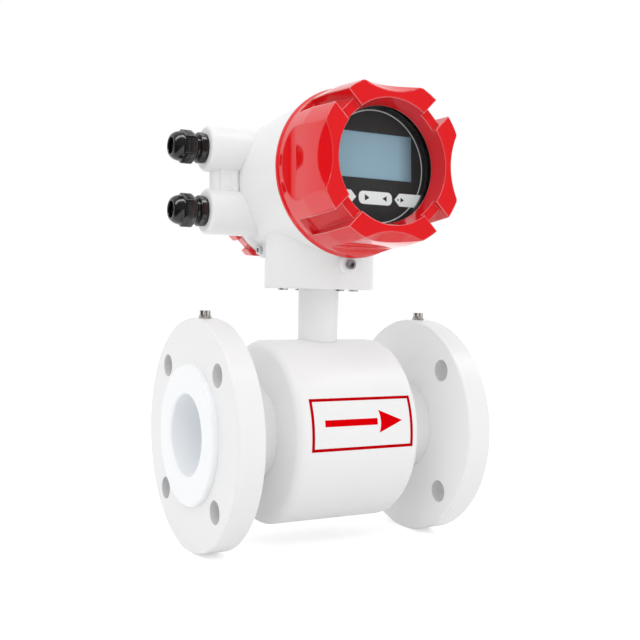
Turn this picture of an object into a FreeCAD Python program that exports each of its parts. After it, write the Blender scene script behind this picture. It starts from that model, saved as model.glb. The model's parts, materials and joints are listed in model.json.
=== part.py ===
import FreeCAD, Part
import os
from math import cos, radians, sin, sqrt, tan

# Electromagnetic flow meter, DN 65, with a converter head on top.  Millimetres.
# World frame: origin in the middle of the flow bore, +X along the flow, +Z up,
# the display looks towards -Y.
# Head frame: origin where the head axis crosses the neck axis, y along the head
# axis towards the rear cover, z up.  It leans back by HEAD_TILT so that the
# display looks slightly upwards.

V = FreeCAD.Vector

# ---------------------------------------------------------------- driving sizes
# Flow tube and its lining
BORE_RADIUS = 32.5
LINER_WALL = 2.6
TUBE_WALL = 2.9
FACE_TO_FACE = 227.0
FLARE_RADIUS = 56.0
FLARE_THICKNESS = 4.4
FLARE_EDGE = 2.0

# Flanges, DIN DN 65 PN 16 pattern
FLANGE_RADIUS = 92.5
FLANGE_THICKNESS = 21.7
FLANGE_EDGE = 1.5
BOLT_CIRCLE_RADIUS = 72.5
BOLT_HOLE_RADIUS = 9.0
BOLT_COUNT = 4

# Coil housing and what it holds
HOUSING_RADIUS = 75.5
HOUSING_LENGTH = 110.6
HOUSING_WALL = 3.0
HOUSING_CORNER = 7.0
COIL_GAP = 0.5
COIL_HEIGHT = 14.0
COIL_LENGTH = 84.0
COIL_WIDTH = 56.0
COIL_BAND = 12.0
COIL_CORNER = 14.0
POLE_CLEARANCE = 0.8
YOKE_WALL = 2.0
YOKE_LENGTH = 92.0

# Electrodes, on the horizontal diameter
ELECTRODE_TIP_RADIUS = 5.0
ELECTRODE_STEM_RADIUS = 2.5
ELECTRODE_SETBACK = 0.1
INSULATOR_RADIUS = 5.6
INSULATOR_FLANGE_RADIUS = 8.0
INSULATOR_FLANGE_THICKNESS = 3.5
ELECTRODE_NUT_FLATS = 8.0
ELECTRODE_NUT_HEIGHT = 4.0
ELECTRODE_THREAD_END = 1.5

# Earth screws on top of the flanges
EARTH_SCREW_RADIUS = 2.5
EARTH_SCREW_DEPTH = 9.0
EARTH_HEAD_FLATS = 8.0
EARTH_HEAD_HEIGHT = 3.6
EARTH_WASHER_RADIUS = 5.3
EARTH_WASHER_THICKNESS = 1.1
SPRING_WASHER_RADIUS = 4.6
SPRING_WASHER_THICKNESS = 1.4
SPRING_WASHER_SLOT = 0.8

# Neck and the joint under the head
NECK_RADIUS = 16.9
NECK_WALL = 3.0
BASE_DROP = 90.2
BASE_RADIUS = 45.7
BASE_SKIRT_WALL = 3.5
NECK_FLANGE_THICKNESS = 7.0
NECK_FLANGE_CLEARANCE = 0.3
BASE_GASKET_THICKNESS = 1.0
BASE_SCREW_CIRCLE = 34.0
BASE_SCREW_COUNT = 4
BASE_SCREW_RADIUS = 2.5
BASE_SCREW_LENGTH = 16.0
BASE_SCREW_HEAD_RADIUS = 4.25
BASE_SCREW_HEAD_HEIGHT = 5.0
BASE_SCREW_PROUD = 1.4
BASE_CAVITY_RADIUS = 26.0
BASE_CAVITY_HEIGHT = 14.0
DUCT_RADIUS = 11.0
DUCT_OFFSET = -6.0
GROMMET_LENGTH = 12.0
LEAD_RADIUS = 4.0
LEAD_GAP = 0.5

# Head
HEAD_TILT = 3.0
AXIS_HEIGHT = 208.0
BODY_FRONT = -47.0
BODY_FRONT_RADIUS = 66.0
BODY_REAR_RADIUS = 61.0
BODY_BACK = 49.5
COLLAR_RADIUS = 60.0
COLLAR_FLARE = 4.0
COLLAR_FACE = 57.4
PARTITION_FRONT = 6.0
PARTITION_WALL = 6.0
FRONT_CHAMBER_RADIUS = 53.0
REAR_CHAMBER_RADIUS = 43.5
REAR_AXIS_DROP = 5.2
BODY_EDGE = 1.5
BODY_BACK_EDGE = 3.0

# Cover threads, drawn plain, and their seals
COVER_GAP = 0.3
THREAD_GAP = 0.3
FRONT_THREAD_RADIUS = 57.5
FRONT_THREAD_LENGTH = 19.0
REAR_THREAD_RADIUS = 48.0
REAR_THREAD_LENGTH = 9.0
SEAL_SECTION = 1.35
SEAL_GAP = 0.25

# Front cover
COVER_LENGTH = 63.0
COVER_RADIUS = 67.9
COVER_RIM_CHAMFER = 1.5
COVER_RIM_BAND = 3.2
COVER_RIM_SKIRT = 2.5
COVER_BODY_RADIUS = 66.6
COVER_SHOULDER = 30.0
COVER_SHOULDER_RADIUS = 66.3
COVER_FRONT_RADIUS = 63.6
FLAT_FRONT = 58.0
FLAT_REAR = 60.2
FLAT_TAPER_LENGTH = 30.0
FLAT_END_MARGIN = 10.0
FLAT_RUN_OUT = 12.0
LOBE_COUNT = 4
SLOT_WIDTH = 15.9
SLOT_FRONT_FLOOR = 53.7
SLOT_REAR_FLOOR = 62.0
SLOT_REAR_MARGIN = 12.5
SLOT_END_LEAN = 15.0
SLOT_FACE_RECESS = 4.0
SCALLOP_DEPTH = 5.5
SCALLOP_RADIUS = 65.0
SCALLOP_SLOPE = 31.6
WINDOW_FRONT_RADIUS = 47.6
WINDOW_LIP_RADIUS = 44.5
WINDOW_LIP_DEPTH = 15.0
COVER_CHAMBER_RADIUS = 54.5

# Window stack, front to back
GLASS_RADIUS = 52.5
GLASS_THICKNESS = 5.0
GLASS_POCKET_GAP = 0.4
WINDOW_GASKET_THICKNESS = 1.0
RETAINER_THICKNESS = 3.3
RETAINER_INNER_RADIUS = 45.6

# Display, behind the window
PANEL_GAP = 1.7
PANEL_RADIUS = 51.0
PANEL_THICKNESS = 1.5
SCREEN_WIDTH = 69.0
SCREEN_BOTTOM = -9.5
SCREEN_TOP = 26.0
LCD_BORDER = 3.0
LCD_THICKNESS = 7.0
BOARD_RADIUS = 49.0
BOARD_THICKNESS = 1.6
STANDOFF_CIRCLE = 44.0
STANDOFF_FLATS = 5.5
STANDOFF_COUNT = 4
MAIN_BOARD_SETBACK = 34.0
PILLAR_RADIUS = 4.0
KEY_HEIGHT = 10.0
KEY_THICKNESS = 0.3
KEY_ROW = -24.3
MIDDLE_KEY_WIDTH = 30.0
SIDE_KEY_START = 17.5
SIDE_KEY_END = 42.0
KEY_POINT = 4.5
KEY_CORNER = 4.0

# Rear cover
REAR_COVER_LENGTH = 14.0
REAR_COVER_END_WALL = 4.0
REAR_COVER_FLAT = 54.2
REAR_COVER_CORNER = 36.5
REAR_COVER_TAPER = 1.5
REAR_COVER_RADIUS = 65.0
REAR_SLOT_FLOOR = 60.6
REAR_SLOT_WIDTH = 11.5

# Cable entries, on the -X side
BOSS_RADIUS = 19.0
BOSS_REACH = 90.5
BOSS_OFFSET = 37.0
BOSS_SPACING = 52.2
BOSS_EDGE = 3.0
WEB_THICKNESS = 12.0
WEB_INSET = 5.3
RIB_RADIUS = 3.6
RIB_OFFSET = 65.0
RIB_PROUD = 2.6

# Cable glands, M20
GLAND_THREAD_RADIUS = 10.0
GLAND_THREAD_LENGTH = 12.0
GLAND_THREAD_GAP = 0.05
GLAND_FLATS = 24.0
GLAND_CHAMFER_RADIUS = 12.8
GLAND_FLANGE_THICKNESS = 5.5
GLAND_WASHER_THICKNESS = 1.2
GLAND_WASHER_RADIUS = 12.0
GLAND_GROOVE = 2.5
GLAND_LENGTH = 29.5
GLAND_NUT_HEX_LENGTH = 11.0
GLAND_NUT_WALL = 2.2
GLAND_NUT_GAP = 0.3
GLAND_NUT_INNER = 8.5
GLAND_SHOULDER_ROUND = 12.0
GLAND_TIP_RADIUS = 9.0
GLAND_TIP_ROUND = 3.5
GLAND_EDGE = 1.2
GLAND_MOUTH_RADIUS = 6.8
GLAND_BODY_BORE = 8.3
GLAND_STEM_END = 21.0
GLAND_SEAL_START = 12.0
GLAND_SEAL_GAP = 0.3
GLAND_SEAL_NOSE = 1.5
CABLE_RADIUS = 5.0

# Lock screws of the two covers
LOCK_SCREW_RADIUS = 2.5
LOCK_HEAD_RADIUS = 3.8
LOCK_HEAD_HEIGHT = 3.0
LOCK_SOCKET_FLATS = 4.0
LOCK_SOCKET_DEPTH = 2.0
LOCK_SCREW_DEPTH = 8.0
FRONT_LOCK_DROP = 70.2
FRONT_LOCK_BOSS_RADIUS = 8.0
FRONT_LOCK_BOSS_FACE = -50.0
FRONT_LOCK_BOSS_EDGE = 1.5
REAR_LOCK_BOSS_RADIUS = 6.5
REAR_LOCK_BOSS_REACH = 35.0
REAR_LOCK_BOSS_OFFSET = 44.0
REAR_LOCK_BOSS_HEIGHT = -55.5

# Terminal block in the rear chamber
TERMINAL_WIDTH = 72.0
TERMINAL_HEIGHT = 22.0
TERMINAL_DEPTH = 14.0
TERMINAL_COUNT = 8
TERMINAL_SCREW_RADIUS = 2.6
TERMINAL_SCREW_DEPTH = 6.0

# ---------------------------------------------------------------- worked-out sizes
LINER_RADIUS = BORE_RADIUS + LINER_WALL
TUBE_RADIUS = LINER_RADIUS + TUBE_WALL
HALF_FACE = FACE_TO_FACE / 2
HALF_HOUSING = HOUSING_LENGTH / 2
FLANGE_MIDDLE = HALF_FACE - FLANGE_THICKNESS / 2
YOKE_INNER_RADIUS = TUBE_RADIUS + COIL_GAP + COIL_HEIGHT

BASE_RECESS_RADIUS = BASE_RADIUS - BASE_SKIRT_WALL
NECK_FLANGE_RADIUS = BASE_RECESS_RADIUS - NECK_FLANGE_CLEARANCE
BASE_BOTTOM = AXIS_HEIGHT - BASE_DROP
NECK_FLANGE_TOP = BASE_BOTTOM + NECK_FLANGE_THICKNESS
BASE_SEAT = NECK_FLANGE_TOP + BASE_GASKET_THICKNESS

COVER_RIM = BODY_FRONT - COVER_GAP
COVER_FRONT = COVER_RIM - COVER_LENGTH
WINDOW_LIP = COVER_FRONT + WINDOW_LIP_DEPTH
GLASS_FRONT = WINDOW_LIP + WINDOW_GASKET_THICKNESS
GLASS_BACK = GLASS_FRONT + GLASS_THICKNESS
RETAINER_BACK = GLASS_BACK + RETAINER_THICKNESS
POCKET_RADIUS = GLASS_RADIUS + GLASS_POCKET_GAP
FRONT_THREAD_END = BODY_FRONT - FRONT_THREAD_LENGTH
PANEL_FRONT = RETAINER_BACK + PANEL_GAP
PANEL_BACK = PANEL_FRONT + PANEL_THICKNESS
LCD_BACK = PANEL_BACK + LCD_THICKNESS
BOARD_BACK = LCD_BACK + BOARD_THICKNESS
MAIN_BOARD_BACK = PARTITION_FRONT - MAIN_BOARD_SETBACK
MAIN_BOARD_FRONT = MAIN_BOARD_BACK - BOARD_THICKNESS
REAR_RIM = COLLAR_FACE + COVER_GAP
REAR_THREAD_END = COLLAR_FACE + REAR_THREAD_LENGTH
PARTITION_BACK = PARTITION_FRONT + PARTITION_WALL

HEAD = FreeCAD.Placement(V(0, 0, AXIS_HEIGHT), FreeCAD.Rotation(V(1, 0, 0), -HEAD_TILT))
ALONG_Y = FreeCAD.Placement(V(), FreeCAD.Rotation(V(0, 0, 1), 90))
ALONG_Z = FreeCAD.Placement(V(), FreeCAD.Rotation(V(0, 1, 0), -90))


# ---------------------------------------------------------------- shared shapes
def placed(shape, placement):
    """A copy of the shape, carried by the placement."""
    result = shape.copy()
    result.Placement = placement.multiply(result.Placement)
    return result


def moved(shape, x=0.0, y=0.0, z=0.0):
    return placed(shape, FreeCAD.Placement(V(x, y, z), FreeCAD.Rotation()))


def turned_about(shape, axis, angle):
    return placed(shape, FreeCAD.Placement(V(), FreeCAD.Rotation(axis, angle)))


def in_head(shape):
    """From the head frame to the world frame."""
    return placed(shape, HEAD)


def at_rear_axis(shape):
    """From the head axis down to the axis of the rear cover."""
    return moved(shape, z=-REAR_AXIS_DROP)


def outline(corners):
    """Closed wire through (u, v) or (u, v, radius) corners; a radius rounds its corner."""
    count = len(corners)
    stations = []
    for index, corner in enumerate(corners):
        point = V(corner[0], corner[1], 0)
        radius = corner[2] if len(corner) > 2 else 0
        if radius == 0:
            stations.append((point, None, point))
            continue
        previous, following = corners[index - 1], corners[(index + 1) % count]
        back = (V(previous[0], previous[1], 0) - point).normalize()
        ahead = (V(following[0], following[1], 0) - point).normalize()
        half = back.getAngle(ahead) / 2
        reach = radius / tan(half)
        centre = point + (back + ahead).normalize() * (radius / sin(half))
        middle = centre + (point - centre).normalize() * radius
        stations.append((point + back * reach, middle, point + ahead * reach))
    edges = []
    for index, (start, middle, end) in enumerate(stations):
        if middle is not None:
            edges.append(Part.Arc(start, middle, end).toShape())
        following = stations[(index + 1) % count][0]
        if end.distanceToPoint(following) > 1e-6:
            edges.append(Part.LineSegment(end, following).toShape())
    return Part.Wire(edges)


def turned(corners):
    """Solid turned about the X axis from (x, radius) corners."""
    return Part.Face(outline(corners)).revolve(V(), V(1, 0, 0), 360)


def ring(inner, outer, start, end, edge=0.0):
    """Ring about the X axis; edge rounds the two outer rims."""
    return turned([(start, inner), (start, outer, edge), (end, outer, edge), (end, inner)])


def disc(radius, start, end, edge=0.0):
    """Round bar about the X axis; edge rounds both rims."""
    return turned([(start, 0), (start, radius, edge), (end, radius, edge), (end, 0)])


def plate(corners, height):
    """The outline in the XY plane, raised along +Z."""
    return Part.Face(outline(corners)).extrude(V(0, 0, height))


def rounded_rectangle(width, depth, corner):
    u, v = width / 2, depth / 2
    return [(-u, -v, corner), (u, -v, corner), (u, v, corner), (-u, v, corner)]


def hexagon(flats, start, end):
    """Hexagonal bar along the X axis, with two corners up and down."""
    radius = flats / sqrt(3)
    points = [V(start, radius * sin(radians(60 * i)), radius * cos(radians(60 * i))) for i in range(7)]
    return Part.Face(Part.makePolygon(points)).extrude(V(end - start, 0, 0))


def around(shape, count, axis, first=0.0):
    """The shape repeated evenly about an axis through the origin."""
    return [turned_about(shape, axis, first + 360.0 * i / count) for i in range(count)]


def cut_all(shape, tools):
    return shape.cut(Part.makeCompound(tools))


# ---------------------------------------------------------------- flow tube
def electrode_bore(radius):
    """A round passage across the flow tube, along Y."""
    return placed(disc(radius, -FLANGE_RADIUS, FLANGE_RADIUS), ALONG_Y)


def measuring_tube():
    tube = ring(LINER_RADIUS, TUBE_RADIUS, -HALF_FACE, HALF_FACE)
    return tube.cut(electrode_bore(INSULATOR_RADIUS))


def liner():
    """One sleeve whose ends are turned out over the flange faces."""
    end = HALF_FACE + FLARE_THICKNESS
    body = turned([
        (-end, BORE_RADIUS, FLARE_EDGE), (-end, FLARE_RADIUS, FLARE_EDGE),
        (-HALF_FACE, FLARE_RADIUS), (-HALF_FACE, LINER_RADIUS),
        (HALF_FACE, LINER_RADIUS), (HALF_FACE, FLARE_RADIUS),
        (end, FLARE_RADIUS, FLARE_EDGE), (end, BORE_RADIUS, FLARE_EDGE),
    ])
    return body.cut(electrode_bore(ELECTRODE_TIP_RADIUS))


def flange(side):
    """A slip-on ring with its bolt holes and the tapped hole of its earth screw."""
    inner, outer = sorted((side * HALF_FACE, side * (HALF_FACE - FLANGE_THICKNESS)))
    blank = ring(TUBE_RADIUS, FLANGE_RADIUS, inner, outer, FLANGE_EDGE)
    hole = moved(disc(BOLT_HOLE_RADIUS, inner - 1, outer + 1), z=BOLT_CIRCLE_RADIUS)
    holes = around(hole, BOLT_COUNT, V(1, 0, 0), 180.0 / BOLT_COUNT)
    tapping = placed(disc(EARTH_SCREW_RADIUS, FLANGE_RADIUS - EARTH_SCREW_DEPTH, FLANGE_RADIUS + 1), ALONG_Z)
    return cut_all(blank, holes + [moved(tapping, x=side * FLANGE_MIDDLE)])


def earth_screw(side):
    head_base = FLANGE_RADIUS + EARTH_WASHER_THICKNESS + SPRING_WASHER_THICKNESS
    shank = disc(EARTH_SCREW_RADIUS, FLANGE_RADIUS - EARTH_SCREW_DEPTH, head_base)
    head = hexagon(EARTH_HEAD_FLATS, head_base, head_base + EARTH_HEAD_HEIGHT)
    return moved(placed(shank.fuse(head), ALONG_Z), x=side * FLANGE_MIDDLE)


def earth_washers(side):
    """A plain washer on the rim and a split spring washer under the head."""
    plain_top = FLANGE_RADIUS + EARTH_WASHER_THICKNESS
    plain = ring(EARTH_SCREW_RADIUS, EARTH_WASHER_RADIUS, FLANGE_RADIUS, plain_top)
    spring = ring(EARTH_SCREW_RADIUS, SPRING_WASHER_RADIUS, plain_top, plain_top + SPRING_WASHER_THICKNESS)
    slot = Part.makeBox(SPRING_WASHER_THICKNESS + 2, SPRING_WASHER_SLOT, EARTH_WASHER_RADIUS)
    spring = spring.cut(moved(slot, x=plain_top - 1, y=-SPRING_WASHER_SLOT / 2))
    return moved(placed(Part.makeCompound([plain, spring]), ALONG_Z), x=side * FLANGE_MIDDLE)


# ---------------------------------------------------------------- coils and housing
def coil_housing():
    """A closed drum on the tube, open at the top into the neck."""
    drum = ring(TUBE_RADIUS, HOUSING_RADIUS, -HALF_HOUSING, HALF_HOUSING, HOUSING_CORNER)
    inner_corner = max(HOUSING_CORNER - HOUSING_WALL, 0.5)
    inner_end = HALF_HOUSING - HOUSING_WALL
    space = ring(TUBE_RADIUS, HOUSING_RADIUS - HOUSING_WALL, -inner_end, inner_end, inner_corner)
    passage = placed(disc(NECK_RADIUS - NECK_WALL, TUBE_RADIUS + 1, HOUSING_RADIUS + 1), ALONG_Z)
    return cut_all(drum, [space, passage])


def saddle(inner_radius, outer_radius, corners):
    """The part of a sleeve about the tube that lies above a flat outline."""
    sleeve = ring(inner_radius, outer_radius, -HALF_HOUSING, HALF_HOUSING)
    return sleeve.common(plate(corners, outer_radius + 1))


def coil(side):
    """A racetrack winding bent round the tube."""
    outer = saddle(TUBE_RADIUS + COIL_GAP, YOKE_INNER_RADIUS - COIL_GAP,
                   rounded_rectangle(COIL_LENGTH, COIL_WIDTH, COIL_CORNER))
    window = plate(rounded_rectangle(COIL_LENGTH - 2 * COIL_BAND, COIL_WIDTH - 2 * COIL_BAND,
                                     max(COIL_CORNER - COIL_BAND, 1.0)), HOUSING_RADIUS)
    return turned_about(outer.cut(window), V(1, 0, 0), 90 - side * 90)


def pole_piece(side):
    """The iron block in the middle of a coil, from the tube to the yoke."""
    margin = 2 * (COIL_BAND + POLE_CLEARANCE)
    block = saddle(TUBE_RADIUS, YOKE_INNER_RADIUS,
                   rounded_rectangle(COIL_LENGTH - margin, COIL_WIDTH - margin, 1.0))
    return turned_about(block, V(1, 0, 0), 90 - side * 90)


def yoke_band():
    return ring(YOKE_INNER_RADIUS, YOKE_INNER_RADIUS + YOKE_WALL, -YOKE_LENGTH / 2, YOKE_LENGTH / 2)


def electrode_stack(side):
    """Electrode, insulating bush and nut, on the front (-1) or rear (+1) of the bore."""
    tip = BORE_RADIUS + ELECTRODE_SETBACK
    bush_end = TUBE_RADIUS + INSULATOR_FLANGE_THICKNESS
    nut_end = bush_end + ELECTRODE_NUT_HEIGHT
    electrode = disc(ELECTRODE_TIP_RADIUS, tip, LINER_RADIUS)
    electrode = electrode.fuse(disc(ELECTRODE_STEM_RADIUS, LINER_RADIUS, nut_end + ELECTRODE_THREAD_END))
    bush = ring(ELECTRODE_STEM_RADIUS, INSULATOR_RADIUS, LINER_RADIUS, bush_end)
    bush = bush.fuse(ring(ELECTRODE_STEM_RADIUS, INSULATOR_FLANGE_RADIUS, TUBE_RADIUS, bush_end))
    nut = hexagon(ELECTRODE_NUT_FLATS, bush_end, nut_end)
    nut = nut.cut(disc(ELECTRODE_STEM_RADIUS, bush_end - 1, nut_end + 1))
    turn = FreeCAD.Placement(V(), FreeCAD.Rotation(V(0, 0, 1), side * 90))
    return [placed(piece, turn) for piece in (electrode, bush, nut)]


# ---------------------------------------------------------------- neck
def base_screw_places(shape):
    """A vertical shape on the +X side of the neck, repeated at every base screw."""
    return around(moved(shape, x=BASE_SCREW_CIRCLE), BASE_SCREW_COUNT, V(0, 0, 1))


def neck_tube():
    """A pipe with a saddle-shaped foot, through the flange at its top."""
    pipe = placed(ring(NECK_RADIUS - NECK_WALL, NECK_RADIUS, TUBE_RADIUS, NECK_FLANGE_TOP), ALONG_Z)
    return pipe.cut(disc(HOUSING_RADIUS, -HALF_HOUSING, HALF_HOUSING))


def neck_flange():
    body = placed(ring(NECK_RADIUS, NECK_FLANGE_RADIUS, BASE_BOTTOM, NECK_FLANGE_TOP), ALONG_Z)
    seat = BASE_BOTTOM + BASE_SCREW_HEAD_HEIGHT - BASE_SCREW_PROUD
    shank_hole = placed(disc(BASE_SCREW_RADIUS, BASE_BOTTOM - 1, NECK_FLANGE_TOP + 1), ALONG_Z)
    head_hole = placed(disc(BASE_SCREW_HEAD_RADIUS, BASE_BOTTOM - 1, seat), ALONG_Z)
    return cut_all(body, base_screw_places(shank_hole) + base_screw_places(head_hole))


def base_gasket():
    body = placed(ring(BASE_CAVITY_RADIUS, NECK_FLANGE_RADIUS, NECK_FLANGE_TOP, BASE_SEAT), ALONG_Z)
    hole = placed(disc(BASE_SCREW_RADIUS, NECK_FLANGE_TOP - 1, BASE_SEAT + 1), ALONG_Z)
    return cut_all(body, base_screw_places(hole))


def base_screws():
    """Socket screws put in from below."""
    head_bottom = BASE_BOTTOM - BASE_SCREW_PROUD
    seat = head_bottom + BASE_SCREW_HEAD_HEIGHT
    screw = disc(BASE_SCREW_RADIUS, seat, seat + BASE_SCREW_LENGTH)
    screw = screw.fuse(disc(BASE_SCREW_HEAD_RADIUS, head_bottom, seat))
    socket = hexagon(LOCK_SOCKET_FLATS, head_bottom - 1, head_bottom + LOCK_SOCKET_DEPTH)
    return base_screw_places(placed(screw.cut(socket), ALONG_Z))


def neck_grommet():
    return placed(ring(LEAD_RADIUS, NECK_RADIUS - NECK_WALL,
                       NECK_FLANGE_TOP - GROMMET_LENGTH, NECK_FLANGE_TOP), ALONG_Z)


def lead_bundle():
    """The sheathed coil and electrode leads, from the yoke up into the base."""
    bottom = YOKE_INNER_RADIUS + YOKE_WALL + LEAD_GAP
    top = BASE_SEAT + BASE_CAVITY_HEIGHT / 2
    return placed(disc(LEAD_RADIUS, bottom, top), ALONG_Z)


# ---------------------------------------------------------------- head casting
def boss_places(shape):
    """A shape drawn along the X axis, moved onto the axes of both cable entries."""
    return [moved(shape, y=BOSS_OFFSET, z=side * BOSS_SPACING / 2) for side in (1, -1)]


def head_body():
    """The tapered drum with a threaded end at the front and a lower one at the rear."""
    drum = placed(turned([
        (FRONT_THREAD_END, 0), (FRONT_THREAD_END, FRONT_THREAD_RADIUS),
        (BODY_FRONT, FRONT_THREAD_RADIUS), (BODY_FRONT, BODY_FRONT_RADIUS, BODY_EDGE),
        (BODY_BACK, BODY_REAR_RADIUS, BODY_BACK_EDGE), (BODY_BACK, 0),
    ]), ALONG_Y)
    collar = placed(turned([
        (0, 0), (0, COLLAR_RADIUS - COLLAR_FLARE), (BODY_BACK - COLLAR_FLARE, COLLAR_RADIUS - COLLAR_FLARE),
        (BODY_BACK, COLLAR_RADIUS), (COLLAR_FACE, COLLAR_RADIUS), (COLLAR_FACE, REAR_THREAD_RADIUS),
        (REAR_THREAD_END, REAR_THREAD_RADIUS), (REAR_THREAD_END, 0),
    ]), ALONG_Y)
    return [drum, at_rear_axis(collar)]


def cable_entries():
    """Two round bosses towards -X with a web and a rib between them."""
    boss = turned([(-BOSS_REACH, 0), (-BOSS_REACH, BOSS_RADIUS, BOSS_EDGE), (0, BOSS_RADIUS), (0, 0)])
    half = WEB_THICKNESS / 2
    web_end = BOSS_REACH - WEB_INSET
    web = plate([(-web_end, -half, half - 0.01), (0, -half), (0, half), (-web_end, half, half - 0.01)], BOSS_SPACING)
    rib = Part.makeCylinder(RIB_RADIUS, BOSS_SPACING, V(-RIB_OFFSET, RIB_RADIUS - half - RIB_PROUD, 0))
    return boss_places(boss) + [moved(shape, y=BOSS_OFFSET, z=-BOSS_SPACING / 2) for shape in (web, rib)]


def rear_lock_boss():
    """A small lug towards -X beside the rear cover's rim."""
    lug = turned([(-REAR_LOCK_BOSS_REACH, 0), (-REAR_LOCK_BOSS_REACH, REAR_LOCK_BOSS_RADIUS, FRONT_LOCK_BOSS_EDGE),
                  (0, REAR_LOCK_BOSS_RADIUS), (0, 0)])
    return moved(lug, y=REAR_LOCK_BOSS_OFFSET, z=REAR_LOCK_BOSS_HEIGHT)


def head_spaces():
    """Both chambers, the threaded cable entries and the rear lock screw's hole."""
    front = placed(disc(FRONT_CHAMBER_RADIUS, FRONT_THREAD_END - 1, PARTITION_FRONT), ALONG_Y)
    rear = at_rear_axis(placed(disc(REAR_CHAMBER_RADIUS, PARTITION_BACK, REAR_THREAD_END + 1), ALONG_Y))
    entry = disc(GLAND_THREAD_RADIUS + GLAND_THREAD_GAP, -BOSS_REACH - 1, -REAR_CHAMBER_RADIUS / 2)
    lock = disc(LOCK_SCREW_RADIUS, -REAR_LOCK_BOSS_REACH - 1, LOCK_SCREW_DEPTH - REAR_LOCK_BOSS_REACH)
    lock = moved(lock, y=REAR_LOCK_BOSS_OFFSET, z=REAR_LOCK_BOSS_HEIGHT)
    return [front, rear, lock] + boss_places(entry)


def pillars():
    """Posts in the front chamber that carry the main board."""
    post = placed(disc(PILLAR_RADIUS, MAIN_BOARD_BACK, PARTITION_FRONT + 1), ALONG_Y)
    return around(moved(post, x=STANDOFF_CIRCLE), STANDOFF_COUNT, V(0, 1, 0), 180.0 / STANDOFF_COUNT)


def converter_housing():
    base = placed(turned([(BASE_BOTTOM, 0), (BASE_BOTTOM, BASE_RADIUS, 1.0),
                          (AXIS_HEIGHT, BASE_RADIUS), (AXIS_HEIGHT, 0)]), ALONG_Z)
    front_boss = turned([(FRONT_LOCK_BOSS_FACE, 0), (FRONT_LOCK_BOSS_FACE, FRONT_LOCK_BOSS_RADIUS,
                         FRONT_LOCK_BOSS_EDGE), (0, FRONT_LOCK_BOSS_RADIUS), (0, 0)])
    front_boss = moved(placed(front_boss, ALONG_Y), z=AXIS_HEIGHT - FRONT_LOCK_DROP)
    head_parts = [in_head(shape) for shape in head_body() + cable_entries() + [rear_lock_boss()]]
    casting = base.multiFuse([front_boss] + head_parts)
    recess = placed(disc(BASE_RECESS_RADIUS, BASE_BOTTOM - 1, BASE_SEAT), ALONG_Z)
    cavity = placed(disc(BASE_CAVITY_RADIUS, BASE_SEAT - 1, BASE_SEAT + BASE_CAVITY_HEIGHT), ALONG_Z)
    duct = moved(placed(disc(DUCT_RADIUS, BASE_SEAT, AXIS_HEIGHT - FRONT_CHAMBER_RADIUS / 2), ALONG_Z), y=DUCT_OFFSET)
    screw_top = BASE_BOTTOM - BASE_SCREW_PROUD + BASE_SCREW_HEAD_HEIGHT + BASE_SCREW_LENGTH
    tapping = placed(disc(BASE_SCREW_RADIUS, BASE_SEAT - 1, screw_top), ALONG_Z)
    lock = placed(disc(LOCK_SCREW_RADIUS, FRONT_LOCK_BOSS_FACE - 1, FRONT_LOCK_BOSS_FACE + LOCK_SCREW_DEPTH), ALONG_Y)
    lock = moved(lock, z=AXIS_HEIGHT - FRONT_LOCK_DROP)
    spaces = [in_head(shape) for shape in head_spaces()]
    casting = casting.cut([recess, cavity, duct, lock] + base_screw_places(tapping) + spaces)
    return casting.multiFuse([in_head(post) for post in pillars()])


# ---------------------------------------------------------------- covers
def octagon(flat, corner, y):
    """Eight-sided outline across the head axis: four main sides at distance flat,
    each reaching corner to either side of its middle."""
    points = []
    for quarter in range(4):
        for u, v in ((flat, -corner), (flat, corner)):
            angle = radians(90 * quarter)
            points.append(V(u * cos(angle) - v * sin(angle), y, u * sin(angle) + v * cos(angle)))
    return Part.makePolygon(points + [points[0]])


def diagonal_slots(shape):
    """A cutter drawn on the +X side, repeated on the four diagonals."""
    return around(shape, LOBE_COUNT, V(0, 1, 0), 180.0 / LOBE_COUNT)


def slot_cutter(width, front, front_floor, rear, rear_floor, lean=0.0):
    """A straight-sided slot on the +X side, with a sloping floor and a rear end that leans back."""
    outside = 2 * COVER_RADIUS
    top = rear + (outside - rear_floor) * tan(radians(lean))
    side = Part.makePolygon([V(front_floor, front, 0), V(rear_floor, rear, 0), V(outside, top, 0),
                             V(outside, front, 0), V(front_floor, front, 0)])
    return moved(Part.Face(side).extrude(V(0, 0, width)), z=-width / 2)


def side_flat():
    """A cutter for the flat of a main side, on the +X side.  The flat tapers to the
    front and runs out in a round that rises to the drum just below the rim."""
    outside = 2 * COVER_RADIUS
    taper_end = COVER_FRONT + FLAT_TAPER_LENGTH
    rise = COVER_BODY_RADIUS - FLAT_REAR
    round_start = COVER_RIM - FLAT_END_MARGIN - sqrt(FLAT_RUN_OUT ** 2 - (FLAT_RUN_OUT - rise) ** 2)
    half = FLAT_RUN_OUT * cos(radians(45))
    taper = Part.Arc(V(FLAT_FRONT, COVER_FRONT, 0),
                     V(FLAT_REAR - (FLAT_REAR - FLAT_FRONT) / 4, (COVER_FRONT + taper_end) / 2, 0),
                     V(FLAT_REAR, taper_end, 0)).toShape()
    run_out = Part.Arc(V(FLAT_REAR, round_start, 0),
                       V(FLAT_REAR + FLAT_RUN_OUT - half, round_start + half, 0),
                       V(FLAT_REAR + FLAT_RUN_OUT, round_start + FLAT_RUN_OUT, 0)).toShape()
    straight = Part.makeLine(V(FLAT_REAR, taper_end, 0), V(FLAT_REAR, round_start, 0))
    back = Part.makePolygon([V(FLAT_REAR + FLAT_RUN_OUT, round_start + FLAT_RUN_OUT, 0),
                             V(outside, round_start + FLAT_RUN_OUT, 0), V(outside, COVER_FRONT - 1, 0),
                             V(FLAT_FRONT, COVER_FRONT - 1, 0), V(FLAT_FRONT, COVER_FRONT, 0)])
    side = Part.Face(Part.Wire([taper, straight, run_out] + back.Edges))
    return moved(side.extrude(V(0, 0, outside)), z=-outside / 2)


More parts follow.
